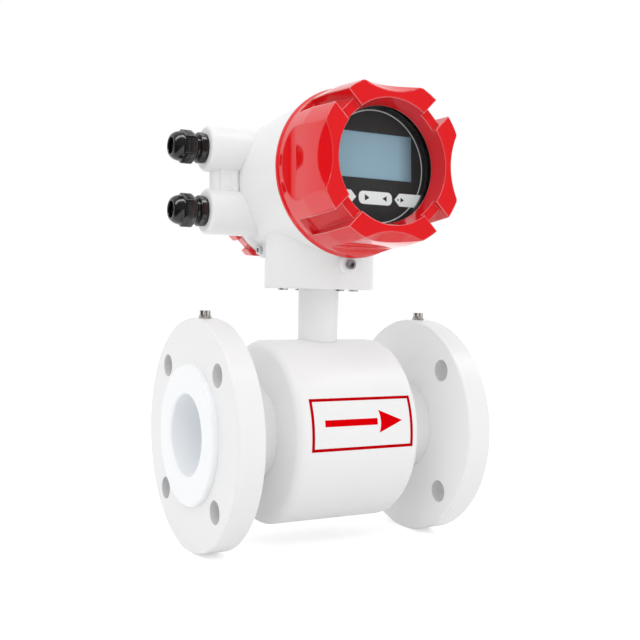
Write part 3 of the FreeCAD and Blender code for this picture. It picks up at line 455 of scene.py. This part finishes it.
for name in ("inlet_earth_screw", "outlet_earth_screw"):
    low, high = reach(name)
    knurled = finish(name, Metallic=1.0)
    tree = knurled.node_tree
    x, y, _ = axes(place(tree))
    along, across = x - (low.x + high.x) / 2, y - (low.y + high.y) / 2
    angle = across.math("ARCTAN2", across, along)
    tooth = 0.5 + 0.5 * angle.math("SINE", TEETH * angle)
    # painted highlight and shade: bright and dark teeth in the colour
    wire_up(knurled, Base_Color=blend(tree, tooth, TOOTH_SHADE, TOOTH_HIGHLIGHT),
            Roughness=0.24 + 0.12 * noise(tree, 300.0), Normal=relief(tree, tooth, TOOTH_DEPTH))
    dress(knurled, name)

# %% [markdown]
# ## The display
# Behind the glass sits a matt dark printed plate, in a ring of black anodised metal
# that holds the window.

# %% Plate and retainer
plate = mottled("dark_plate", 60.0, (0.030, 0.031, 0.032), (0.036, 0.037, 0.037))
wire_up(plate, Roughness=0.42 + 0.1 * noise(plate.node_tree, 400.0))
dress(plate, "display_panel")

retainer = mottled("black_anodised", 80.0, (0.010, 0.010, 0.010), (0.016, 0.016, 0.016),
                   Roughness=0.30)
dress(retainer, "window_retainer")

# %% [markdown]
# The screen is a switched-off grey-blue panel.  A soft painted shade darkens it towards
# the right end, which the x position along the module gives.

# %% Screen
SHADE_WIDTH = 15.0 * MM
SCREEN_BLUE, SCREEN_TINT = (0.36, 0.60, 0.73), (0.39, 0.59, 0.74)
# colour of the painted shade at the screen's right end
SCREEN_SHADE = (0.16, 0.22, 0.28)

screen = finish("screen", Roughness=0.28)
tree = screen.node_tree
_, screen_high = reach("lcd_module")
x, _, _ = axes(place(tree))
# painted shade towards the right end of the screen
shaded = ((x - (screen_high.x - SHADE_WIDTH)) / SHADE_WIDTH).clipped()
grey_blue = blend(tree, noise(tree, 18.0, 1.0), SCREEN_BLUE, SCREEN_TINT)
wire_up(screen, Base_Color=blend(tree, shaded, grey_blue, SCREEN_SHADE))
dress(screen, "lcd_module")

# %% [markdown]
# The three touch pads are printed a bright white.  Deep behind the window they would
# fall into shade, so a little emission keeps them as bright as the real print.

# %% Touch pads
PAD_GLOW, PAD_GLOW_SHADE = (0.20, 0.23, 0.23), (0.18, 0.21, 0.21)

pad = mottled("white_pad", 90.0, (0.88, 0.88, 0.88), (0.84, 0.84, 0.84),
              Roughness=0.5, Emission_Strength=1.0)
tree = pad.node_tree
wire_up(pad, Emission_Color=blend(tree, noise(tree, 90.0), PAD_GLOW, PAD_GLOW_SHADE))
dress(pad, "middle_key", "left_key", "right_key")

# %% [markdown]
# The boards are green with fine tracks, made by cutting a noise in two, and the
# terminal block and the electrodes' bushes are ivory plastic.  They show when a cover
# is off.

# %% Boards and plastic
TRACK_SHARE = 0.55

board = finish("circuit_board", Roughness=0.4)
tree = board.node_tree
tracks = noise(tree, 350.0, 4.0) > TRACK_SHARE
wire_up(board, Base_Color=blend(tree, tracks, (0.02, 0.12, 0.05), (0.03, 0.17, 0.08)))
dress(board, "display_board", "main_board")

ivory = mottled("ivory_plastic", 120.0, (0.66, 0.65, 0.58), (0.60, 0.59, 0.52), Roughness=0.45)
dress(ivory, "front_electrode_bush", "rear_electrode_bush", "terminal_block")

# %% [markdown]
# ## Glass
# The window is a thick flat disc.  True refraction would darken what lies behind it, so
# the shader is almost wholly see-through by its alpha, and only its gloss stays.

# %% Window glass
glass = finish("window_glass", Roughness=0.0, Base_Color=(0.02, 0.03, 0.03))
wire_up(glass, Alpha=0.05 + 0.02 * noise(glass.node_tree, 10.0))
dress(glass, "window_glass")

# %% [markdown]
# ## Pieces made here
# A new piece starts as rings of points that are joined to each other.  It then gets its
# finish and rides on its body.


# %% Mesh pieces
def bridge(mesh, rings, closed=True):
    """Joins each ring of points to the next, and where closed the last to the first."""
    for a, b in zip(rings, rings[1:] + (rings[:1] if closed else [])):
        count = len(a)
        for i in range(count):
            following = (i + 1) % count
            mesh.faces.new((a[i], a[following], b[following], b[i]))


def mesh_piece(name, mesh, material, body):
    """Makes an object from a bmesh, gives it its finish and lets it ride on its body."""
    bmesh.ops.recalc_face_normals(mesh, faces=mesh.faces)
    data = bpy.data.meshes.new(name)
    mesh.to_mesh(data)
    mesh.free()
    data.materials.append(material)
    piece = bpy.data.objects.new(name, data)
    bpy.context.scene.collection.objects.link(piece)
    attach(piece, body)
    print(name, "has", len(data.polygons), "faces and rides on", body)
    return piece

# %% [markdown]
# ### The silver line on the plate
# One thin bright ring runs round the plate near its rim, below the pads.  It is a thin
# solid with four edges that is bent into a circle.

# %% Silver line
RING_RADIUS, RING_WIDTH, RING_HEIGHT, RING_STEPS = 43.3, 0.9, 0.08, 180
RING_IN, RING_OUT = RING_RADIUS - RING_WIDTH / 2, RING_RADIUS + RING_WIDTH / 2


def on_panel(depth):
    """Places (right, up, out) millimetres on the panel, out from the given head depth."""
    def carry(u, v, out):
        return HEAD @ Vector((u * MM, depth - out * MM, v * MM))
    return carry


silver = mottled("silver_line", 300.0, (0.88, 0.88, 0.88), (0.80, 0.80, 0.80), Roughness=0.4)
mesh = bmesh.new()
carry = on_panel(panel_low.y)
angles = [2 * pi * i / RING_STEPS for i in range(RING_STEPS)]
edges = ((RING_IN, 0.0), (RING_IN, RING_HEIGHT), (RING_OUT, RING_HEIGHT), (RING_OUT, 0.0))
bridge(mesh, [[mesh.verts.new(carry(radius * cos(a), radius * sin(a), out)) for a in angles]
              for radius, out in edges])
mesh_piece("silver_line", mesh, silver, "meter")

# %% [markdown]
# ### Arrows on the pads
# The pads carry small dark triangles, and nothing else.  Each is a thin slab: its
# outline on the pad and again a hair above, joined and closed.  The numbers are its
# middle, width and height, and a negative width makes it point left.

# %% Pad arrows
INK_HEIGHT = 0.05
PAD_ARROWS = ((-7.6, 4.2, 5.2), (8.2, -3.8, 4.4), (24.6, 3.2, 4.0), (20.4, -1.6, 2.0))


def slab(mesh, outline, height, carry):
    """Adds a closed thin solid from an outline, carried to its place."""
    low, top = ([mesh.verts.new(carry(u, v, out)) for u, v in outline] for out in (0.0, height))
    bridge(mesh, [low, top], closed=False)
    mesh.faces.new(top)
    mesh.faces.new(low[::-1])


ink = mottled("dark_ink", 300.0, (0.035, 0.036, 0.038), (0.05, 0.05, 0.052), Roughness=0.5)
pad_low, pad_high = reach("middle_key", HEAD)
pad_row = (pad_low.z + pad_high.z) / 2 / MM
mesh = bmesh.new()
for middle, width, height in PAD_ARROWS:
    slab(mesh, [(middle - width / 2, pad_row - height / 2), (middle + width / 2, pad_row),
                (middle - width / 2, pad_row + height / 2)], INK_HEIGHT, on_panel(pad_low.y))
mesh_piece("pad_arrows", mesh, ink, "meter")

# %% [markdown]
# ## Moulded dome nuts
# A cable gland's nut is a rounded dome that runs into a hexagon, and a wide chamfer
# leads down to the thread.  Each station below gives the distance from the boss and
# the largest radius there; the hexagon's flats cut that radius down all the way round.
# Fine grip ribs stand on the flats between two of the stations.  Boolean cuts on a
# cylinder would do it too, but they leave long thin faces that shade badly.

# %% Dome nuts
NUT_FLATS = 12.25
NUT_PROFILE = ((9.2, 10.3), (9.2, 10.9), (9.5, 11.3), (11.3, 13.5), (11.9, 13.95),
               (13.0, 13.95), (13.2, 13.95), (18.8, 13.95), (19.0, 13.95), (20.5, 13.95),
               (20.9, 13.6), (21.0, 12.2), (22.5, 12.15), (24.0, 11.85), (25.5, 11.35),
               (27.0, 10.6), (28.2, 9.7), (29.0, 8.8), (29.4, 8.0), (29.5, 7.3),
               (29.3, 6.9), (27.3, 6.8), (27.2, 8.5), (21.0, 8.5), (20.9, 10.3))
NUT_STEPS, SHARP = 288, radians(28)
RIB_STEPS, RIB_HEIGHT, RIB_START, RIB_END, RIB_REACH = 6, 0.22, 13.1, 18.9, radians(24)


def dome_nut(name):
    """The nut as one closed mesh of rings about its own axis."""
    joint = next(j for j in frame["joints"] if j["name"] == name + "_nut_turn")
    axis = Vector(joint["pos_m"])
    mesh = bmesh.new()
    rings = []
    for distance, limit in NUT_PROFILE:
        ring = []
        for i in range(NUT_STEPS):
            angle = 2 * pi * i / NUT_STEPS
            fold = (angle + pi / 6) % (pi / 3) - pi / 6
            on_flat = RIB_START < distance < RIB_END and abs(fold) < RIB_REACH
            rib = RIB_HEIGHT if on_flat and i % RIB_STEPS < RIB_STEPS / 2 else 0.0
            radius = (min(limit, NUT_FLATS / cos(fold)) + rib) * MM
            out = head_y * cos(angle) * radius + head_z * sin(angle) * radius
            ring.append(mesh.verts.new(axis - head_x * distance * MM + out))
        rings.append(ring)
    bridge(mesh, rings)
    for face in mesh.faces:
        face.smooth = True
    for edge in mesh.edges:
        edge.smooth = edge.calc_face_angle() < SHARP
    piece = mesh_piece(name + "_moulded_nut", mesh, nylon, name + "_dome_nut")
    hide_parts(name + "_gland_nut")


dome_nut("upper")
dome_nut("lower")

# %% [markdown]
# ## The pad between the cable bosses
# A low raised pad stands on the web between the two bosses, beside its round rib.  It
# is a plain block sunk into the web, and the coat's bevel rounds its edges.

# %% Boss pad
WEB_LEFT, WEB_RIGHT, WEB_FACE, WEB_BACK, WEB_HALF = -79.0, -66.0, -7.4, -4.0, 16.0

gland_points = [Vector(j["pos_m"]) for j in frame["joints"] if j["name"].endswith("_nut_turn")]
web_middle = HEAD.inverted() @ ((gland_points[0] + gland_points[1]) / 2)
shift = Vector((0.0, web_middle.y, web_middle.z))
mesh = bmesh.new()
outline = ((WEB_FACE, -WEB_HALF), (WEB_FACE, WEB_HALF), (WEB_BACK, WEB_HALF), (WEB_BACK, -WEB_HALF))
left, right = ([mesh.verts.new(HEAD @ (Vector((x, y, z)) * MM + shift)) for y, z in outline]
               for x in (WEB_LEFT, WEB_RIGHT))
bridge(mesh, [left, right], closed=False)
mesh.faces.new(left)
mesh.faces.new(right[::-1])
mesh_piece("boss_pad", mesh, coat, "meter")

# %% [markdown]
# ## The flow mark on the drum
# A printed frame with a plain flow arrow is wrapped round the front of the drum.  A
# decal texture could show it, but thin solids stay sharp from near and need no
# unwrapping.  Bands are cut into short lengths so that they follow the curve.

# %% Wrapping round the drum
_, drum_high = reach("coil_housing")
DRUM = drum_high.z / MM
PRINT_GAP, PRINT_HEIGHT = 0.02, 0.06


def on_drum(u, v, out):
    """u along the pipe and v round the drum from its front, both in millimetres."""
    angle = v / DRUM
    radius = (DRUM + out + PRINT_GAP) * MM
    return Vector((u * MM, -cos(angle) * radius, sin(angle) * radius))


def band(mesh, rows):
    """A closed thin solid on the drum through rows of height, left end and right end."""
    rings = [[mesh.verts.new(on_drum(u, v, out)) for u, out in
              ((left, 0), (left, PRINT_HEIGHT), (right, PRINT_HEIGHT), (right, 0))]
             for v, left, right in rows]
    bridge(mesh, rings, closed=False)
    mesh.faces.new(rings[0][::-1])
    mesh.faces.new(rings[-1])


def strip(mesh, left, right, bottom, top, pieces=24):
    """A rectangle on the drum."""
    band(mesh, [(bottom + (top - bottom) * i / pieces, left, right) for i in range(pieces + 1)])


print("drum radius", round(DRUM, 2), "mm")

# %% [markdown]
# The frame is four strips of a dull printed red.  Its ink takes no shine, or the drum's
# highlight would wash it out.

# %% Flow mark frame
MARK_LEFT, MARK_RIGHT, MARK_BOTTOM, MARK_TOP, MARK_LINE = -44.8, 47.6, -6.9, 34.4, 2.4
SHORT = 3


def print_ink(name, light, dark):
    """A flat printed colour with no shine."""
    return mottled(name, 200.0, light, dark, Roughness=0.6, Specular_IOR_Level=0.0)


mesh = bmesh.new()
low_inside, high_inside = MARK_BOTTOM + MARK_LINE, MARK_TOP - MARK_LINE
strip(mesh, MARK_LEFT, MARK_RIGHT, MARK_BOTTOM, low_inside, SHORT)
strip(mesh, MARK_LEFT, MARK_RIGHT, high_inside, MARK_TOP, SHORT)
strip(mesh, MARK_LEFT, MARK_LEFT + MARK_LINE, low_inside, high_inside)
strip(mesh, MARK_RIGHT - MARK_LINE, MARK_RIGHT, low_inside, high_inside)
mesh_piece("flow_mark_frame", mesh, print_ink("frame_red", (0.52, 0.0, 0.003), (0.48, 0.0, 0.003)),
           "meter")

# %% [markdown]
# The arrow's head is a band too, widest at its middle row, where the tip is.  Its back
# is hollowed a little.  A short strip makes the shaft.

# %% Flow arrow
ARROW_BACK, ARROW_TIP, ARROW_HALF, ARROW_ROW, ARROW_NOTCH = 16.0, 37.6, 9.0, 14.6, 1.6
SHAFT_START, SHAFT_END, SHAFT_HALF, SHAFT_PIECES = -33.0, ARROW_BACK - 1.5, 2.6, 4
SLICES, NARROWEST = 16, 0.05

rows = []
for i in range(SLICES + 1):
    t = -1 + 2 * i / SLICES
    left = ARROW_BACK + ARROW_NOTCH * (1 - t * t)
    right = ARROW_TIP + (ARROW_BACK - ARROW_TIP) * abs(t)
    rows.append((ARROW_ROW + ARROW_HALF * t, left, max(right, left + NARROWEST)))
mesh = bmesh.new()
band(mesh, rows)
strip(mesh, SHAFT_START, SHAFT_END, ARROW_ROW - SHAFT_HALF, ARROW_ROW + SHAFT_HALF, SHAFT_PIECES)
mesh_piece("flow_arrow", mesh, print_ink("arrow_red", (0.72, 0.0, 0.003), (0.67, 0.0, 0.003)),
           "meter")

# %% [markdown]
# ## Studio
# A white room lights the meter with a soft glow that is stronger from above.  An image
# of a real room would light it and fill its mirrors at once, but then nothing could be
# tuned on its own, so the direction of a ray gives each level here.

# %% World
ROOM_LIGHT, ROOM_SLOPE = 0.84, 0.16

scene = bpy.context.scene
scene.view_settings.view_transform = "Standard"
world = bpy.data.worlds.new("studio")
scene.world = world
world.use_nodes = True
tree = world.node_tree
tree.nodes.clear()
_, facing_y, facing_z = axes(Wire.node(tree, "ShaderNodeTexCoord", output="Generated"))
room = ROOM_LIGHT + ROOM_SLOPE * facing_z

# %% [markdown]
# In mirrors the room is bright behind the meter and darker ahead, so that the red face
# stays deep.  One strip overhead, much brighter, draws the long highlights that a light
# tube leaves on gloss paint.

# %% What mirrors see
BEHIND_SLOPE, BEHIND_START = 4.0, 0.4
AHEAD_SLOPE, AHEAD_SHARE = -1.2, 0.22
ABOVE_SLOPE, ABOVE_START, ABOVE_SHARE = 4.0, 2.6, 0.5
TUBE_Y, TUBE_Z, TUBE_HALF, TUBE_LOWEST, TUBE_STRENGTH = 0.96, 0.28, 0.13, 0.5, 8.0

behind = (BEHIND_SLOPE * facing_y - BEHIND_START).clipped()
ahead = (AHEAD_SLOPE * facing_y).clipped()
above = (ABOVE_SLOPE * facing_z - ABOVE_START).clipped()
off_tube = abs(TUBE_Y * facing_y + TUBE_Z * facing_z)
light_tube = (off_tube < TUBE_HALF) * (facing_z > TUBE_LOWEST)
mirror = (behind + AHEAD_SHARE * ahead + ABOVE_SHARE * above).clipped()
mirror = mirror + TUBE_STRENGTH * light_tube

# %% [markdown]
# Light Path tells the kinds of rays apart.  The camera, also through glass, sees plain
# white, glossy rays see the mirror levels, and all other rays bring the room's light.

# %% Background
path = Wire.node(tree, "ShaderNodeLightPath")
mirrored = path.out("Is Glossy Ray")
plain_white = (path.out("Is Camera Ray") + path.out("Is Transmission Ray")).clipped()
level = room * (1 - mirrored) + mirror * mirrored
strength = level * (1 - plain_white) + plain_white
background = Wire.node(tree, "ShaderNodeBackground", None,
                       {"Color": (1, 1, 1, 1), "Strength": strength})
Wire.node(tree, "ShaderNodeOutputWorld", None, {"Surface": background})
print("world has", len(tree.nodes), "nodes")

# %% [markdown]
# ## Floor
# The meter stands on a wide plane just under its flanges.  It belongs to the studio
# and not to the meter.

# %% Floor
FLOOR_SIZE, FLOOR_GAP = 6.0, 0.2 * MM

mesh = bmesh.new()
bmesh.ops.create_grid(mesh, x_segments=1, y_segments=1, size=FLOOR_SIZE)
data = bpy.data.meshes.new("floor")
mesh.to_mesh(data)
mesh.free()
floor = bpy.data.objects.new("floor", data)
floor.location.z = cad_box[0].z - FLOOR_GAP
scene.collection.objects.link(floor)
print("floor at", round(floor.location.z / MM, 2), "mm")

# %% [markdown]
# Its finish is a lit pale surface plus a glow that only the camera, mirrors and glass
# see: the sum is white in the open, and the meter's shadow still shows.  On the left,
# mirrors meet a dark card instead, which a studio sets up to keep glossy fronts deep.

# %% Floor finish
FLOOR_WHITE, FLOOR_GLOW = (0.9, 0.9, 0.9), 0.5
CARD_SLOPE, CARD_START, CARD_TURN = 10.0, 3.0, 3.0

ground = finish("floor_white", Base_Color=FLOOR_WHITE, Roughness=1.0, Specular_IOR_Level=0.0)
data.materials.append(ground)
tree = ground.node_tree
path = Wire.node(tree, "ShaderNodeLightPath")
mirrored = path.out("Is Glossy Ray")
shown = (path.out("Is Camera Ray") + mirrored + path.out("Is Transmission Ray")).clipped()
glow = Wire.node(tree, "ShaderNodeEmission", None,
                 {"Color": (1, 1, 1, 1), "Strength": FLOOR_GLOW * shown})
lit = Wire(tree.nodes["Principled BSDF"].outputs["BSDF"])
white_floor = Wire.node(tree, "ShaderNodeAddShader", None, {0: lit, 1: glow})
x, y, _ = axes(place(tree))
to_the_left = (-CARD_SLOPE * x - CARD_START).clipped()
card = to_the_left * (-CARD_TURN * x - CARD_SLOPE * y).clipped()
black = Wire.node(tree, "ShaderNodeEmission", None, {"Strength": 0.0})
carded = Wire.node(tree, "ShaderNodeMixShader", None, {0: card * mirrored, 1: white_floor, 2: black})
tree.links.new(carded.socket, tree.nodes["Material Output"].inputs["Surface"])

# %% [markdown]
# ## Lamps
# Two large soft boxes, a key from the left and a weaker fill from the right, shape the
# round forms.  They stay out of mirrors, because the room draws the reflections.


# %% Lamps
def soft_box(name, spot, aim, size, power):
    """A square soft box at a spot, turned to its aim."""
    light = bpy.data.lights.new(name, "AREA")
    light.shape = "SQUARE"
    light.size = size
    light.energy = power
    lamp = bpy.data.objects.new(name, light)
    lamp.location = spot
    lamp.rotation_mode = "QUATERNION"
    lamp.rotation_quaternion = (Vector(spot) - Vector(aim)).to_track_quat("Z", "Y")
    lamp.visible_glossy = False
    scene.collection.objects.link(lamp)
    print("lamp", name, "of", power, "W")


soft_box("key", (-0.9, -0.7, 1.5), (0, 0, 0.08), 1.0, 4.0)
soft_box("fill", (1.2, -1.0, 0.9), (0, 0, 0.05), 1.2, 3.5)
